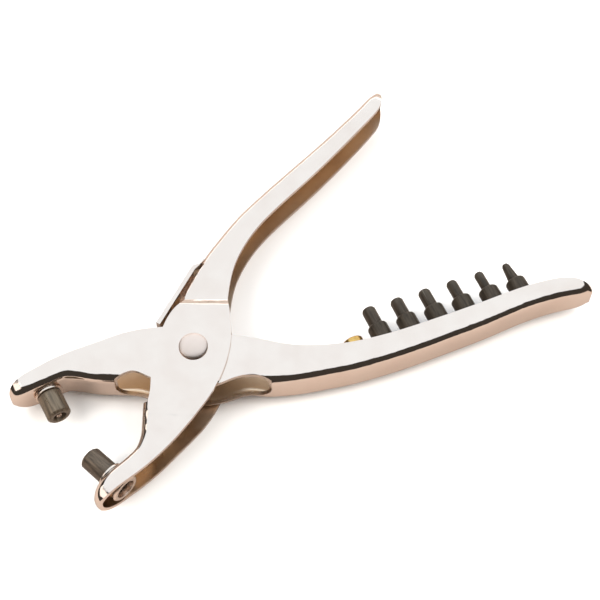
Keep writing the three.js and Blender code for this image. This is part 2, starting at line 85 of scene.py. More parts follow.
RIVET_HEAD_R = 5.2
RIVET_HEAD = 1.4
RIVET_RIM = 0.2
RIVET_TAIL_R = 4.1
RIVET_TAIL = 0.8
WASHER_R = 4.9
WASHER = 0.4
SLEEVE_R = 4.3
WIRE_R = 0.8
COIL_R = 5.7
COIL_TURNS = 3
COIL_GAP = 0.35
FRONT_LEG_ANGLE = 72.4
FRONT_LEG_END = (8.05, 42.7)
STORAGE_LEG_ANGLE = -4
STORAGE_LEG = ((12, -6.5), (41, -8.7))
PITCH = 11.13
RACK_MIDDLE = (96.5, 13.9)
RACK_SLOPE = 20.4
TOOL_LEAN = 3.6
TOOL_SEAT = 0.5
BASE_R = 3.85
BASE = 9.8
SHOULDER = 1.2
TUBE = 7.5
TUBE_RADII = (2.65, 2.5, 2.4, 2.15, 1.85, 1.5)
LAST_ROOT_R = 2.2
STUB_R = 2.2
STUB = 3
ANVIL_R = 4.1
ANVIL = 6.9
SLOT_LOW = 7.4
SLOT_REACH = 28
SLOT_CORNER = 5
FOLD_Y = 21
TIP_ROUND = 6
TIP_ROLL = 3
TONGUE_HALF = 6.8
CUT_LOW, CUT_HIGH = -10, 40

# Rows along a lever's web: x, y of its outside, depth of the cheeks, half width, bend radius.
STORAGE_ROWS = (
    (-63.5, -19.7, 6.8, HALF, BEND), (-57.7, -16.58, 6.6, HALF, BEND),
    (-51.4, -13.45, 7.2, HALF, BEND), (-47.6, -11.56, 8.6, HALF, BEND),
    (-45.6, -10.7, 9.6, HALF, BEND), (-42.0, -10.8, 11.6, HALF, BEND),
    (-35.0, -12.0, 15.4, HALF, BEND), (-28.0, -12.5, 19.2, HALF, 3.6),
    (-20.0, -13.5, 22.9, HALF, 4.6), (-10.0, -16.0, 26.1, HALF, 4.2),
    (0.0, -17.2, 27.3, HALF, 4.0), (10.0, -16.2, 24.8, HALF, 4.2),
    (19.5, -13.2, 19.1, HALF, 4.6), (28.0, -13.2, 16.4, HALF, 3.6),
    (38.1, -12.0, 13.7, HALF, BEND), (49.0, -9.8, 11.7, HALF, BEND),
    (57.4, -7.9, 10.6, HALF, BEND), (74.3, -2.5, 9.7, HALF, BEND),
    (90.4, 3.9, 9.2, HALF, BEND), (106.7, 10.8, 8.7, HALF, BEND),
    (122.0, 17.9, 8.1, HALF, BEND), (134.0, 22.0, 8.0, 7.2, BEND),
    (141.4, 23.5, 7.6, 6.9, BEND), (146.7, 24.5, 6.8, 6.6, BEND),
)
JAW_ROWS = (
    (-34.3, -54.1, 6.4, HALF, BEND), (-31.5, -51.1, 6.4, HALF, BEND),
    (-26.8, -46.0, 6.8, HALF, BEND), (-22.4, -41.9, 7.7, HALF, BEND),
    (-18.8, -37.9, 8.9, HALF, BEND), (-17.3, -33.2, 12.4, HALF, BEND),
    (-17.0, -28.3, 16.8, 8.4, BEND), (-16.9, -24.0, 20.8, PIVOT_HALF, BEND),
    (-16.9, -16.6, 25.2, PIVOT_HALF, BEND), (-16.9, -8.8, 28.1, PIVOT_HALF, BEND),
    (-16.9, -2.0, 29.8, PIVOT_HALF, BEND), (-16.9, 4.8, 30.6, PIVOT_HALF, BEND),
    (-16.9, 10.5, 30.3, PIVOT_HALF, BEND), (-16.9, 16.6, 29.1, PIVOT_HALF, BEND),
    (-16.9, 21.0, 28.5, HALF, BEND), (-16.9, 24.0, 28.3, HALF, BEND),
)
HANDLE_ROWS = (
    (-9.2, 15.0, 22.6, HALF, BEND), (-3.6, 27.0, 16.6, HALF, BEND),
    (0.8, 36.4, 13.2, HALF, BEND), (5.6, 44.6, 10.8, HALF, BEND),
    (14.3, 57.4, 9.3, HALF, BEND), (24.2, 68.8, 9.0, HALF, BEND),
    (33.9, 79.2, 9.0, HALF, BEND), (44.0, 89.9, 8.4, HALF, BEND),
    (54.0, 101.0, 7.7, HALF, BEND), (63.4, 112.6, 7.4, 7.0, BEND),
    (68.3, 119.6, 6.8, 6.5, BEND),
)

# The slot's upper edge in plan; it runs through the bend.
SLOT_EDGE = (
    (-27.8, -11.6), (-24, -9.4), (-20.5, -8.8), (-15, -11.1), (-8, -14), (0, -15), (6, -14.5),
    (10.2, -13.3), (14.5, -11.4), (18.5, -10.3), (23.8, -10.5), (28, -12.2),
)
SPACING = 1.2  # between the sections of a lever
CHEEK_EVEN = 5  # how far along the edge of a cheek is evened
NOSE_ROUND = 9  # how far from a nose its cheeks roll over
NOSE_ROLL = 6  # and how far in they roll
ARC = 12  # faces round a bend
END_SECTIONS = 14
END_CLOSURE = 0.96  # share of the depth that an end closes
OUTSIDE, INSIDE, EDGE = 0, 1, 2  # material slots of a lever


# ---- camera --------------------------------------------------------------------------------------
def make_camera():
    camera = bpy.data.objects.new("camera", bpy.data.cameras.new("camera"))
    bpy.context.scene.collection.objects.link(camera)
    elevation = math.radians(60)
    distance = 0.5022
    look_at = Vector((0.03809, 0.02449, MID * MM))
    camera.location = look_at + Vector((0, -math.cos(elevation), math.sin(elevation))) * distance
    camera.rotation_euler = (math.pi / 2 - elevation, 0, 0)
    camera.data.sensor_width = 36
    camera.data.lens = 81
    camera.data.clip_start = 0.01
    bpy.context.scene.camera = camera


# ---- mesh helpers --------------------------------------------------------------------------------
def mesh_object(name, points, faces, slot=0):
    mesh = bpy.data.meshes.new(name)
    mesh.from_pydata([tuple(float(c) * MM for c in p) for p in points], [], faces)
    for _ in range(3):
        mesh.materials.append(None)
    mesh.polygons.foreach_set("material_index", [slot] * len(mesh.polygons))
    mesh.update()
    obj = bpy.data.objects.new(name, mesh)
    bpy.context.scene.collection.objects.link(obj)
    if volume(mesh) < 0:
        mesh.flip_normals()
    return obj


def volume(mesh):
    total = 0.0
    for p in mesh.polygons:
        corners = [mesh.vertices[i].co for i in p.vertices]
        for a, b in zip(corners[1:], corners[2:]):
            total += corners[0].dot(a.cross(b))
    return total / 6


def loft(name, rings, slot=0):
    """A closed solid through rings of equal length."""
    count = len(rings[0])
    faces = []
    for i in range(len(rings) - 1):
        for j in range(count):
            a, b = i * count + j, i * count + (j + 1) % count
            faces.append((a, b, b + count, a + count))
    faces.append(tuple(range(count))[::-1])
    faces.append(tuple(range((len(rings) - 1) * count, len(rings) * count)))
    return mesh_object(name, [p for ring in rings for p in ring], faces, slot)


def combine(obj, other, operation):
    """A boolean of two solids; the second one is used up."""
    cut = obj.modifiers.new("cut", "BOOLEAN")
    cut.operation = operation
    cut.solver = "MANIFOLD"
    cut.object = other
    bake_modifiers(obj)
    bpy.data.objects.remove(other)
    return obj


def bake_modifiers(obj):
    bpy.context.view_layer.update()
    evaluated = obj.evaluated_get(bpy.context.evaluated_depsgraph_get())
    mesh = bpy.data.meshes.new_from_object(evaluated)
    obj.modifiers.clear()
    obj.data = mesh


def spline(points, steps):
    """A uniform Catmull-Rom curve through points in plan."""
    out = []
    for i in range(len(points) - 1):
        p = [np.array(points[min(max(k, 0), len(points) - 1)], float) for k in range(i - 1, i + 3)]
        for k in range(steps):
            t = k / steps
            a, b = (p[2] - p[0]) / 2, (p[3] - p[1]) / 2
            c2, c3 = -3 * p[1] + 3 * p[2] - 2 * a - b, 2 * p[1] - 2 * p[2] + a + b
            out.append(tuple(p[1] + a * t + c2 * t * t + c3 * t ** 3))
    return out + [tuple(points[-1])]


def plate(name, outline, low, high, slot=EDGE):
    return loft(name, [[(x, y, z) for x, y in outline] for z in (low, high)], slot)


def smooth(obj, angle=32):
    obj.data.polygons.foreach_set("use_smooth", [True] * len(obj.data.polygons))
    obj.data.set_sharp_from_angle(angle=math.radians(angle))


# ---- levers --------------------------------------------------------------------------------------
class Web:
    """A lever's web line, read at any distance along it."""

    def __init__(self, rows, side):
        rows = np.array(rows, float)
        p = np.vstack([2 * rows[0] - rows[1], rows, 2 * rows[-1] - rows[-2]])[:, :3]
        steps = 24
        samples = []
        for i in range(len(rows) - 1):
            gaps = [max(np.linalg.norm(p[i + k + 1] - p[i + k]) ** 0.5, 1e-3) for k in range(3)]
            a, b, c, d = p[i:i + 4]
            t1 = ((b - a) / gaps[0] - (c - a) / (gaps[0] + gaps[1]) + (c - b) / gaps[1]) * gaps[1]
            t2 = ((c - b) / gaps[1] - (d - b) / (gaps[1] + gaps[2]) + (d - c) / gaps[2]) * gaps[1]
            for k in range(steps + (i == len(rows) - 2)):
                t = k / steps
                at = b + t1 * t + (-3 * b + 3 * c - 2 * t1 - t2) * t * t + (2 * b - 2 * c + t1 + t2) * t ** 3
                ease = t * t * (3 - 2 * t)
                samples.append([*at, *(rows[i, 3:] * (1 - ease) + rows[i + 1, 3:] * ease)])
        self.samples = np.array(samples)
        run = np.linalg.norm(np.diff(self.samples[:, :2], axis=0), axis=1)
        self.s = np.concatenate([[0], np.cumsum(run)])
        self.length = self.s[-1]
        self.smooth_cheeks(side)

    def smooth_cheeks(self, side):
        """Evens the line of the cheeks' free edges, which a bend of the web would otherwise kink."""
        edges = []
        for s, row in zip(self.s, self.samples):
            along = (self.at(min(self.length, s + 1)) - self.at(max(0, s - 1)))[:2]
            along /= np.linalg.norm(along)
            edges.append(row[:2] + np.array([-along[1], along[0]]) * side * row[2])
        edges = np.array(edges)
        even = []
        for s in self.s:
            reach = max(0.3, min(CHEEK_EVEN, s / 2, (self.length - s) / 2))
            weight = np.exp(-0.5 * ((self.s - s) / reach) ** 2) * np.gradient(self.s)
            even.append(weight @ edges / weight.sum())
        across = np.array(even) - self.samples[:, :2]
        depth = np.linalg.norm(across, axis=1)
        self.samples[:, 2] = depth
        self.samples = np.hstack([self.samples, across / depth[:, None]])

    def at(self, s):
        return np.array([np.interp(s, self.s, column) for column in self.samples.T])

    def frame(self, s):
        here = self.at(s)
        return here[:5], here[5:] / np.linalg.norm(here[5:])


def fullness(q, reach):
    if q >= reach:
        return 1.0
    return math.sqrt(max(0.0, 1 - (1 - q / reach) ** 2))


def stations(length, inset, nose_reach, tip_reach):
    first = inset + nose_reach if nose_reach else 0
    last = length - inset - tip_reach if tip_reach else length
    turn = [1 - math.cos((i + 0.35) / END_SECTIONS * math.pi / 2) for i in range(END_SECTIONS)]
    start = [inset + nose_reach * t for t in turn] if nose_reach else []
    end = [length - inset - tip_reach * t for t in reversed(turn)] if tip_reach else []
    return start + list(np.linspace(first, last, round((last - first) / SPACING) + 1)) + end


def filled(name, web_line, inset, nose, tip, extra=0):
    """The body that fills a channel, or with an inset the hollow that the sheet leaves."""
    nose_reach = nose[0] - inset if nose[0] else 0
    tip_reach = tip[0] - inset if tip[0] else 0
    rings = []
    for s in stations(web_line.length, inset, nose_reach, tip_reach):
        (x, y, depth, half_width, bend), inward = web_line.frame(s)
        from_nose = s - inset if nose_reach else math.inf
        from_tip = web_line.length - inset - s if tip_reach else math.inf
        full = min(fullness(from_nose, nose_reach), fullness(from_tip, tip_reach))
        at_nose = (NOSE_ROLL - inset * 0.4) * (1 - fullness(from_nose, NOSE_ROUND - inset))
        at_tip = (TIP_ROLL - inset * 0.4) * (1 - fullness(from_tip, TIP_ROUND - inset))
        half = half_width - inset - max(at_nose, at_tip)
        closing = (depth - inset) * (1 - full)
        rise = (nose if from_nose < from_tip else tip)[1]
        web = inset + closing * rise
        edge = depth - closing * (END_CLOSURE - rise) + extra
        radius = min(bend - inset, half - 0.2, (edge - web) * 0.9)
        quarter = [k / ARC * math.pi / 2 for k in range(ARC + 1)]
        side = [(web + radius * (1 - math.sin(a)), -half + radius * (1 - math.cos(a))) for a in quarter]
        flat = [(edge, -half), *side, *[(n, -z) for n, z in reversed(side)], (edge, half)]
        rings.append([(x + inward[0] * n, y + inward[1] * n, MID + z) for n, z in flat])
    return loft(name, rings, INSIDE if inset else OUTSIDE)


def channel(name, rows, side, nose=(0, 0), tip=(0, 0)):
    line = Web(rows, side)
    hollow = filled("hollow", line, SHEET, nose, tip, 6)
    return combine(filled(name, line, 0, nose, tip), hollow, "DIFFERENCE")


def heading(degrees):
    return Vector((math.cos(math.radians(degrees)), math.sin(math.radians(degrees)), 0))


def polar(radius, degrees):
    return heading(degrees) * radius + Vector((0, 0, MID))


UPPER_DIE_ANGLE = UPPER_ANGLE + 90 + UPPER_LEAN
LOWER_DIE_ANGLE = LOWER_ANGLE - 90 + LOWER_LEAN
TOOL_ANGLE = RACK_SLOPE + 90 + TOOL_LEAN
UPPER_WAY = heading(UPPER_DIE_ANGLE)
LOWER_WAY = heading(LOWER_DIE_ANGLE)
UPPER_SEAT = polar(DIE_RADIUS, UPPER_ANGLE) - UPPER_WAY * UPPER_REACH
LOWER_SEAT = polar(DIE_RADIUS, LOWER_ANGLE) - LOWER_WAY * LOWER_REACH


def turned(name, profile, origin, way, segments=96, slot=0):
    """A turned solid: its profile is radius and distance along the axis."""
    turn = Vector((0, 0, 1)).rotation_difference(Vector(way))
    closed = profile[0] == profile[-1]
    body = profile[:-1] if closed else profile
    points, rings = [], []
    for r, h in body:
        count = 1 if r < 1e-6 else segments
        rings.append(list(range(len(points), len(points) + count)))
        for k in range(count):
            a = 2 * math.pi * k / segments
            points.append(Vector(origin) + turn @ Vector((r * math.cos(a), r * math.sin(a), h)))
    faces = []
    for i in range(len(rings) if closed else len(rings) - 1):
        a, b = rings[i], rings[(i + 1) % len(rings)]
        for k in range(segments):
            k2 = (k + 1) % segments
            if len(a) == 1:
                faces.append((a[0], b[k2], b[k]))
            elif len(b) == 1:
                faces.append((a[k], a[k2], b[0]))
            else:
                faces.append((a[k], a[k2], b[k2], b[k]))
    return mesh_object(name, points, faces, slot)


def cylinder(radius, start, end, segments=96):
    axis = Vector(end) - Vector(start)
    profile = [(0, 0), (radius, 0), (radius, axis.length), (0, axis.length)]
    return turned("cutter", profile, start, axis, segments, EDGE)


def pivot_bore():
    return cylinder(RIVET_R + GAP, (0, 0, -5), (0, 0, 30))


def seat_hole(seat, way):
    return cylinder(BUSH_R + SEAT, seat - way * 3.5, seat + way * 3)


def web_slot():
    """The slot's lower corners are round; its upper edge, in plan, runs through the bend."""
    front = -30
    first, last = SLOT_EDGE[0], SLOT_EDGE[-1]
    plan = plate("slot", [(first[0], front), *spline(SLOT_EDGE, 8), (last[0], front)],
                 SLOT_LOW - 1, CUT_HIGH)
    corners = []
    for sign, start in ((-1, 180), (1, 270)):
        for k in range(13):
            a = math.radians(start + 90 * k / 12)
            corners.append((sign * (SLOT_REACH - SLOT_CORNER) + SLOT_CORNER * math.cos(a),
                            SLOT_LOW + SLOT_CORNER + SLOT_CORNER * math.sin(a)))
    outline = [(-SLOT_REACH, CUT_HIGH), *corners, (SLOT_REACH, CUT_HIGH)]
    side = loft("slot_side", [[(x, y, z) for x, z in outline] for y in (front, 0)], EDGE)
    return combine(plan, side, "INTERSECT")


def storage_lever():
    body = channel("storage_lever_fine", STORAGE_ROWS, 1, nose=(8, 0.38), tip=(12, 0.2))
    combine(body, pivot_bore(), "DIFFERENCE")
    combine(body, web_slot(), "DIFFERENCE")
    return combine(body, seat_hole(UPPER_SEAT, UPPER_WAY), "DIFFERENCE")


def front_lever():
    centre = channel("front_lever_fine", JAW_ROWS, -1, nose=(8, 0.6))
    neck_line = spline([(-15.2, -21.6), (-14.5, -17), (-14.5, -9), (-13.8, -2.4), (-11.4, 7.6),
                        (-8.6, 14.2), (-4.4, 19.8), (-3.5, 23), (-3.4, 26)], 10)
    combine(centre, plate("neck", [(-40, -21.6), *neck_line, (-40, 26)], CUT_LOW, CUT_HIGH), "DIFFERENCE")
    below = [(-60, -80), (60, -80), (60, FOLD_Y), (-60, FOLD_Y)]
    combine(centre, plate("below", below, CUT_LOW, CUT_HIGH), "INTERSECT")
    handle = channel("handle", HANDLE_ROWS, -1, tip=(10, 0.12))
    slit_line = spline([(2.6, 35.9), (-0.2, 31.4), (-2.2, 27.2), (-3.4, 23.6), (-4.6, 19.6)], 10)
    slit = [*slit_line, (-20, 18), (-20, 38), (-1.4, 38.2)]
    combine(handle, plate("slit", slit, CUT_LOW, CUT_HIGH), "DIFFERENCE")
    above = [(-60, FOLD_Y - 0.02), (120, FOLD_Y - 0.02), (120, 160), (-60, 160)]
    combine(handle, plate("above", above, CUT_LOW, CUT_HIGH), "INTERSECT")
    combine(centre, handle, "UNION")
    tongue = [(-14.1, 11.2), (-12.7, 10.5), (-0.9, 33.9), (0.6, 35.6), (3.0, 38.6), (2.0, 38.2),
              (0.6, 36.2), (-1.6, 35.6), (-2.3, 34.6)]
    combine(centre, plate("tongue", tongue, MID - TONGUE_HALF, MID + TONGUE_HALF, OUTSIDE), "UNION")
    combine(centre, pivot_bore(), "DIFFERENCE")
    return combine(centre, seat_hole(LOWER_SEAT, LOWER_WAY), "DIFFERENCE")


# ---- materials -----------------------------------------------------------------------------------
class Finish:
    """A node material with one Principled shader, and helpers that vary it over the surface."""

    def __init__(self, name, colour, metallic, roughness):
        self.material = bpy.data.materials.new(name)
        self.material.use_nodes = True
        self.tree = self.material.node_tree
        self.shader = self.tree.nodes["Principled BSDF"]
        self.shader.inputs["Base Color"].default_value = (*colour, 1)
        self.shader.inputs["Metallic"].default_value = metallic
        self.shader.inputs["Roughness"].default_value = roughness
        self.coordinates = self.tree.nodes.new("ShaderNodeTexCoord").outputs["Object"]
        self.normal = None

    def node(self, kind, **inputs):
        node = self.tree.nodes.new(kind)
        for key, value in inputs.items():
            self.link(value, node.inputs[key.replace("_", " ")])
        return node

    def link(self, value, socket):
        if isinstance(value, bpy.types.NodeSocket):
            self.tree.links.new(value, socket)
        else:
            socket.default_value = value

    def noise(self, scale, detail=3.0, stretch=1.0, turn=0.0, rough=0.5):
        """Noise that is drawn out along a heading in plan."""
        mapping = self.tree.nodes.new("ShaderNodeMapping")
        mapping.vector_type = "TEXTURE"
        self.link(self.coordinates, mapping.inputs["Vector"])
        self.link((stretch, 1, 1), mapping.inputs["Scale"])
        self.link((0, 0, math.radians(turn)), mapping.inputs["Rotation"])
        noise = self.node("ShaderNodeTexNoise", Vector=mapping.outputs[0], Scale=scale, Detail=detail,
                          Roughness=rough)
        return noise.outputs["Fac"]

    def ranged(self, value, low, high, out_low, out_high):
        node = self.node("ShaderNodeMapRange", Value=value, From_Min=low, From_Max=high, To_Min=out_low,
                         To_Max=out_high)
        return node.outputs[0]

    def mixed(self, factor, first, second):
        node = self.tree.nodes.new("ShaderNodeMix")
        node.data_type = "RGBA"
        self.link(factor, node.inputs[0])
        for socket, value in ((node.inputs[6], first), (node.inputs[7], second)):
            self.link((*value, 1) if isinstance(value, tuple) else value, socket)
        return node.outputs[2]

    def maths(self, operation, first, second):
        node = self.tree.nodes.new("ShaderNodeMath")
        node.operation = operation
        self.link(first, node.inputs[0])
        self.link(second, node.inputs[1])
        return node.outputs[0]

    def bump(self, height, distance, strength=1.0):
        node = self.node("ShaderNodeBump", Height=height, Distance=distance, Strength=strength)
        if self.normal is not None:
            self.tree.links.new(self.normal, node.inputs["Normal"])
        self.normal = node.outputs[0]
        self.tree.links.new(self.normal, self.shader.inputs["Normal"])

    def colour(self, value):
        self.tree.links.new(value, self.shader.inputs["Base Color"])

    def roughness(self, value):
        self.tree.links.new(value, self.shader.inputs["Roughness"])


def nickel(name, light, dark, low_rough, high_rough, wave=0.0001):
    """Bright nickel plate: soft waves from pressing, a cloudy sheen and fine hairline scratches."""
    finish = Finish(name, light, 1.0, low_rough)
    clouds = finish.noise(90, 4)
    finish.colour(finish.mixed(finish.ranged(clouds, 0.35, 0.7, 0, 1), light, dark))
    hair = finish.noise(3200, 2, stretch=14, turn=20)
    smears = finish.ranged(finish.noise(45, 5), 0.3, 0.75, low_rough, high_rough)
    lines = finish.ranged(hair, 0.62, 0.75, 0, 0.06)
    finish.roughness(finish.maths("ADD", smears, lines))
    finish.bump(finish.noise(140, 2), wave)
    finish.bump(hair, 0.000003)
    return finish.material


def black_oxide(name, dark, light, turn, low_rough, high_rough):
    """Blackened steel, drawn along its axis, with the grain of a tumbled part and paler edges."""
    finish = Finish(name, dark, 0.6, low_rough)
    grain = finish.noise(1400, 4)
    drawn = finish.noise(1500, 3, stretch=9, turn=turn)
    tone = finish.mixed(finish.ranged(drawn, 0.3, 0.7, 0, 1), dark, light)
    geometry = finish.tree.nodes.new("ShaderNodeNewGeometry")
    edges = finish.ranged(geometry.outputs["Pointiness"], 0.52, 0.6, 0, 0.55)
    finish.colour(finish.mixed(edges, tone, (0.24, 0.21, 0.18)))
    finish.roughness(finish.ranged(grain, 0.3, 0.7, low_rough, high_rough))
    finish.bump(grain, 0.00003)
    return finish.material


def brass():
    light, dark = (0.80, 0.50, 0.16), (0.55, 0.31, 0.09)
    finish = Finish("brass", (0.75, 0.46, 0.14), 1.0, 0.22)
    clouds = finish.noise(300, 4)
    finish.colour(finish.mixed(finish.ranged(clouds, 0.35, 0.7, 0, 1), light, dark))
    finish.roughness(finish.ranged(clouds, 0.3, 0.7, 0.18, 0.36))
    finish.bump(finish.noise(1600, 3), 0.000012)
    return finish.material


def spring_steel():
    finish = Finish("spring_steel", (0.42, 0.40, 0.38), 1.0, 0.3)
    drawn = finish.noise(2500, 3, stretch=6)
    finish.roughness(finish.ranged(drawn, 0.3, 0.7, 0.22, 0.42))
    finish.colour(finish.mixed(drawn, (0.36, 0.33, 0.31), (0.52, 0.49, 0.46)))
    finish.bump(drawn, 0.00001)
    return finish.material


NICKEL = nickel("nickel_outside", (0.88, 0.75, 0.66), (0.84, 0.70, 0.61), 0.07, 0.14, wave=0.0003)
# The inside faces of the channels get a darker, warmer copy of the plate: painted shade and painted warm
# reflection inside the channels.
NICKEL_INSIDE_PAINTED_SHADE = nickel("nickel_inside_painted_shade", (0.86, 0.70, 0.53), (0.74, 0.58, 0.42), 0.26, 0.44)
NICKEL_EDGE = nickel("nickel_edge", (0.90, 0.78, 0.68), (0.80, 0.66, 0.55), 0.16, 0.30)
FITTING = nickel("plated_fitting", (0.86, 0.73, 0.63), (0.80, 0.66, 0.56), 0.22, 0.34)
RIVET_PLATE = nickel("plated_rivet", (0.90, 0.74, 0.65), (0.84, 0.68, 0.58), 0.38, 0.50)
# The two dies get lighter and darker copies of one blackened steel: the upper die's paler tone is painted
# light, the lower die's darker tone is painted shade.
UPPER_BLACK_PAINTED_LIGHT = black_oxide(
    "black_upper_die_painted_light", (0.080, 0.059, 0.040), (0.20, 0.15, 0.10), UPPER_DIE_ANGLE, 0.26, 0.40)
LOWER_BLACK_PAINTED_SHADE = black_oxide(
    "black_lower_die_painted_shade", (0.050, 0.036, 0.025), (0.135, 0.097, 0.067), LOWER_DIE_ANGLE, 0.26, 0.40)
BLACK = black_oxide(
    "black_punch", (0.030, 0.023, 0.016), (0.070, 0.053, 0.038), TOOL_ANGLE, 0.32, 0.50)
BRASS = brass()
STEEL = spring_steel()


# ---- pieces --------------------------------------------------------------------------------------
STORAGE_BODY = "storage_lever_body"
FRONT_BODY = "front_lever_body"


def soften(obj, width=0.2, segments=2, angle=35):
    bevel = obj.modifiers.new("soft_edges", "BEVEL")
    bevel.width = width * MM
    bevel.segments = segments
    bevel.limit_method = "ANGLE"
    bevel.angle_limit = math.radians(angle)
    bake_modifiers(obj)
    smooth(obj)


def finish_lever(obj, node, body):
    for slot, material in enumerate((NICKEL, NICKEL_INSIDE_PAINTED_SHADE, NICKEL_EDGE)):
        obj.data.materials[slot] = material
    smooth(obj)
    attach(obj, body)
    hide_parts(node)


def turned_piece(node, body, material, profile, origin, way, width=0.2, segments=96):
    obj = turned(f"{node}_fine", profile, origin, way, segments)
    soften(obj, width)
    for index in range(len(obj.data.materials)):
        obj.data.materials[index] = material
    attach(obj, body)
    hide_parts(node)


def tube(inner, outer, low, high):
    return [(inner, low), (outer, low), (outer, high), (inner, high), (inner, low)]


def make_pivot():
    """The rivet, whose head is a low dome, and what runs on it."""
    top = MID + PIVOT_HALF + SEAT
    dome = [(RIVET_HEAD_R * math.cos(a), top + RIVET_RIM + (RIVET_HEAD - RIVET_RIM) * math.sin(a))
            for a in np.linspace(0, math.pi / 2, 20)[:-1]]
    profile = [(0, 0), (3.5, 0), (RIVET_TAIL_R, 0.35), (RIVET_TAIL_R, RIVET_TAIL), (RIVET_R, RIVET_TAIL),
               (RIVET_R, top), (RIVET_HEAD_R, top), *dome, (0, top + RIVET_HEAD)]
    up = (0, 0, 1)
    turned_piece("pivot_rivet", FRONT_BODY, RIVET_PLATE, profile, (0, 0, 0), up, 0.12)
    low = MID - PIVOT_HALF - SEAT - WASHER
    turned_piece("tail_washer", FRONT_BODY, FITTING,
                 tube(RIVET_R + SEAT, WASHER_R, low, low + WASHER), (0, 0, 0), up, 0.08)
    half = HALF - SHEET - GAP
    turned_piece("spacer_sleeve", STORAGE_BODY, FITTING,
                 tube(RIVET_R + GAP, SLEEVE_R, MID - half, MID + half), (0, 0, 0), up, 0.15)


def bush_profile(length):
    collar_foot = -COLLAR - COLLAR_SEAT
    return [
        (BUSH_BORE, collar_foot), (COLLAR_R, collar_foot), (COLLAR_R, -COLLAR_SEAT), (BUSH_R, -COLLAR_SEAT),
        (BUSH_R, SHEET + SEAT * 2), (BUSH_R + 0.2, SHEET + SEAT * 2), (BUSH_RING_R, SHEET + 1.4),
        (BUSH_RING_R, length - 0.5), (BUSH_RING_R - 0.5, length), (BUSH_BORE, length),
        (BUSH_BORE, collar_foot),
    ]


def make_dies():
    shank = [(0, -DIE_SHANK), (SHANK_R - SHANK_CHAMFER, -DIE_SHANK), (SHANK_R, SHANK_CHAMFER - DIE_SHANK),
             (SHANK_R, DIE_FOOT)]
    upper = [*shank, (UPPER_DIE_R, DIE_FOOT), (UPPER_DIE_R, UPPER_REACH - 0.7),
             (UPPER_DIE_R - 0.7, UPPER_REACH), (UPPER_RECESS_R, UPPER_REACH),
             (UPPER_RECESS_R - 0.3, UPPER_REACH - UPPER_RECESS), (0, UPPER_REACH - UPPER_RECESS)]
    lower = [*shank, (LOWER_DIE_R, DIE_FOOT), (LOWER_DIE_R, LOWER_REACH - 0.8),
             (LOWER_DIE_R - 0.8, LOWER_REACH), (LOWER_CUP_R, LOWER_REACH),
             (1.5, LOWER_REACH - LOWER_CUP), (0, LOWER_REACH - LOWER_CUP)]
    foot = SEAT - UPPER_RECESS
    pin = [(0, foot), (PIN_R, foot), (PIN_R, -0.8), (PIN_R - 0.3, -0.4), (PIN_R - 0.5, -0.4),
           (PIN_R - 0.6, -1.3), (0, -1.3)]
    sides = (
        ("upper", STORAGE_BODY, UPPER_BLACK_PAINTED_LIGHT, upper, UPPER_SEAT, UPPER_WAY, UPPER_BUSH_LENGTH),
        ("lower", FRONT_BODY, LOWER_BLACK_PAINTED_SHADE, lower, LOWER_SEAT, LOWER_WAY, LOWER_BUSH_LENGTH),
    )
    for name, body, black, profile, seat, way, length in sides:
        turned_piece(f"{name}_die", body, black, profile, seat, way, 0.15)
        bush = bush_profile(length)
        turned_piece(f"{name}_socket_bush", body, FITTING, bush, seat, -way, 0.12)
    turned_piece("upper_die_pin", STORAGE_BODY, FITTING, pin,
                 UPPER_SEAT + UPPER_WAY * UPPER_REACH, UPPER_WAY, 0.08, 48)


def make_stored_tools():
    along = heading(RACK_SLOPE)
    way = heading(TOOL_ANGLE)
    middle = Vector((*RACK_MIDDLE, MID))
    feet = [middle + along * (PITCH * (i - 3.5)) + way * TOOL_SEAT for i in range(7)]
    stub = [(0, -STUB), (STUB_R, -STUB), (STUB_R, 0)]
    anvil = [*stub, (ANVIL_R, 0), (ANVIL_R, ANVIL - 0.5), (ANVIL_R - 0.5, ANVIL), (0, ANVIL)]
    turned_piece("brass_anvil", "brass_anvil_body", BRASS, anvil, feet[0], way, 0.2)
    top = BASE + TUBE
    for i, radius in enumerate(TUBE_RADII):
        root = LAST_ROOT_R if radius == TUBE_RADII[-1] else radius
        shoulder = [(BASE_R - SHOULDER + SHOULDER * math.cos(a), BASE - SHOULDER + SHOULDER * math.sin(a))
                    for a in np.linspace(0, math.pi / 2, 7)]
        profile = [*stub, (BASE_R - 0.3, 0), (BASE_R, 0.3), *shoulder, (root + 0.35, BASE),
                   (root, BASE + 0.4), (radius, top - 0.9), (radius - 0.5, top), (radius - 0.8, top),
                   (radius - 0.9, top - 2), (0, top - 2)]
        name = f"punch_{i + 1}"
        turned_piece(name, f"{name}_body", BLACK, profile, feet[i + 1], way, 0.12)


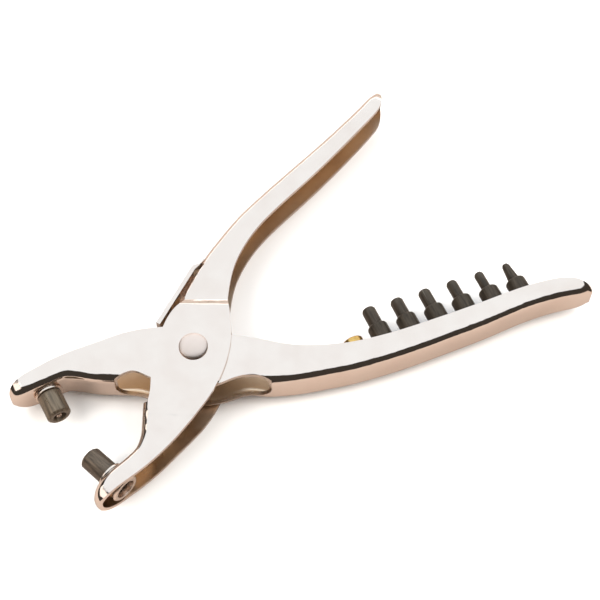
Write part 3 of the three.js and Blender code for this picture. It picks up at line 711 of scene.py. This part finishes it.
def make_spring():
    """The torsion spring's wire, wound as the CAD one is; it twists between the two levers."""
    pitch = WIRE_R * 2 + COIL_GAP
    start_angle = FRONT_LEG_ANGLE + 90
    end_angle = STORAGE_LEG_ANGLE - 90 + 360 * (COIL_TURNS + 1)
    rise = (end_angle - start_angle) / 360 * pitch
    low = MID - rise / 2
    bend = polar(COIL_R, start_angle) + heading(FRONT_LEG_ANGLE) * 12
    points = [(*FRONT_LEG_END, low), (bend.x, bend.y, low)]
    steps = 160
    for i in range(steps + 1):
        p = polar(COIL_R, start_angle + (end_angle - start_angle) * i / steps)
        points.append((p.x, p.y, low + rise * i / steps))
    points += [(x, y, low + rise) for x, y in STORAGE_LEG]
    curve = bpy.data.curves.new("return_spring_wire", "CURVE")
    curve.dimensions = "3D"
    curve.bevel_depth = WIRE_R * MM * 0.98
    curve.bevel_resolution = 6
    curve.use_fill_caps = True
    line = curve.splines.new("POLY")
    line.points.add(len(points) - 1)
    for point, place in zip(line.points, points):
        point.co = (*[c * MM for c in place], 1)
    wire = bpy.data.objects.new("wire", curve)
    bpy.context.scene.collection.objects.link(wire)
    bpy.context.view_layer.update()
    mesh = bpy.data.meshes.new_from_object(wire.evaluated_get(bpy.context.evaluated_depsgraph_get()))
    bpy.data.objects.remove(wire)
    spring = bpy.data.objects.new("return_spring_fine", mesh)
    bpy.context.scene.collection.objects.link(spring)
    mesh.materials.clear()
    mesh.materials.append(STEEL)
    smooth(spring, 50)
    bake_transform(spring)
    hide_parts("return_spring")


def dress_rack():
    for node in ("punch_rack", *[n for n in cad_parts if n.startswith("rack_stud")]):
        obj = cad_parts[node]
        obj.data.materials.clear()
        obj.data.materials.append(FITTING)
        bevel = obj.modifiers.new("soft_edges", "BEVEL")
        bevel.width = 0.15 * MM
        bevel.segments = 2


# ---- studio --------------------------------------------------------------------------------------
# All in metres.
FLOOR_REACH = 3.0
CARD_REACH = 1.5
CARD_HEIGHT = 0.0002
LIT_POINT = (0.04, 0.03, 0.01)


def level_sheet(name, reach, height, material):
    """A level square, in metres, that belongs to the studio."""
    corners = [(x * reach, y * reach, height) for x, y in ((-1, -1), (1, -1), (1, 1), (-1, 1))]
    mesh = bpy.data.meshes.new(name)
    mesh.from_pydata(corners, [], [(0, 1, 2, 3)])
    mesh.materials.append(material)
    obj = bpy.data.objects.new(name, mesh)
    bpy.context.scene.collection.objects.link(obj)
    return obj


def make_floor():
    light, dark = (0.88, 0.86, 0.84), (0.86, 0.83, 0.81)
    finish = Finish("floor", (0.86, 0.84, 0.82), 0.0, 0.9)
    finish.shader.inputs["Specular IOR Level"].default_value = 0.1
    tone = finish.ranged(finish.noise(6, 2), 0.3, 0.7, 0.0, 1.0)
    finish.colour(finish.mixed(tone, dark, light))
    level_sheet("floor", FLOOR_REACH, 0, finish.material)


def make_card():
    """A warm card over the floor that shows only in the plate's reflections."""
    finish = Finish("card", (0.42, 0.355, 0.315), 0.0, 1.0)
    finish.shader.inputs["Specular IOR Level"].default_value = 0.0
    card = level_sheet("card", CARD_REACH, CARD_HEIGHT, finish.material)
    card.visible_camera = False
    card.visible_diffuse = False
    card.visible_shadow = False


def panel(name, direction, distance, size, radiance, colour, glossy=True):
    """A soft light panel that faces the tool."""
    light = bpy.data.lights.new(name, "AREA")
    light.shape = "RECTANGLE"
    light.size, light.size_y = size
    light.energy = radiance * math.pi * size[0] * size[1]
    light.color = colour
    obj = bpy.data.objects.new(name, light)
    bpy.context.scene.collection.objects.link(obj)
    way = Vector(direction).normalized()
    obj.location = Vector(LIT_POINT) + way * distance
    obj.rotation_euler = way.to_track_quat("Z", "Y").to_euler()
    obj.visible_glossy = glossy


def make_studio():
    world = bpy.data.worlds.new("studio")
    world.use_nodes = True
    world.node_tree.nodes["Background"].inputs["Color"].default_value = (0.05, 0.045, 0.04, 1)
    world.node_tree.nodes["Background"].inputs["Strength"].default_value = 1.0
    bpy.context.scene.world = world
    bpy.context.scene.view_settings.view_transform = "Standard"
    bpy.context.scene.view_settings.look = "None"
    panel("back_panel", (0, 0.53, 0.85), 0.95, (2.0, 1.75), 1.0, (0.98, 1.12, 1.24))
    panel("back_low_panel", (0, 1, 0.22), 1.2, (2.0, 0.5), 0.8, (1.0, 0.93, 0.88))
    panel("left_low_panel", (-0.86, 0.5, 0.06), 1.2, (0.9, 0.3), 0.45, (1.0, 0.85, 0.72))
    panel("left_fill", (-0.7, -0.2, 0.7), 1.1, (0.9, 0.9), 6.2, (1.0, 0.97, 0.93), glossy=False)
    panel("right_fill", (0.7, -0.1, 0.7), 1.1, (0.9, 0.9), 6.2, (1.0, 0.97, 0.93), glossy=False)
    panel("left_panel", (-0.8, -0.15, 0.6), 1.0, (0.5, 0.4), 1.4, (1.0, 0.97, 0.94))


make_camera()
finish_lever(storage_lever(), "storage_lever", STORAGE_BODY)
finish_lever(front_lever(), "front_lever", FRONT_BODY)
make_pivot()
make_dies()
make_stored_tools()
make_spring()
dress_rack()
make_floor()
make_card()
make_studio()

bpy.context.view_layer.update()
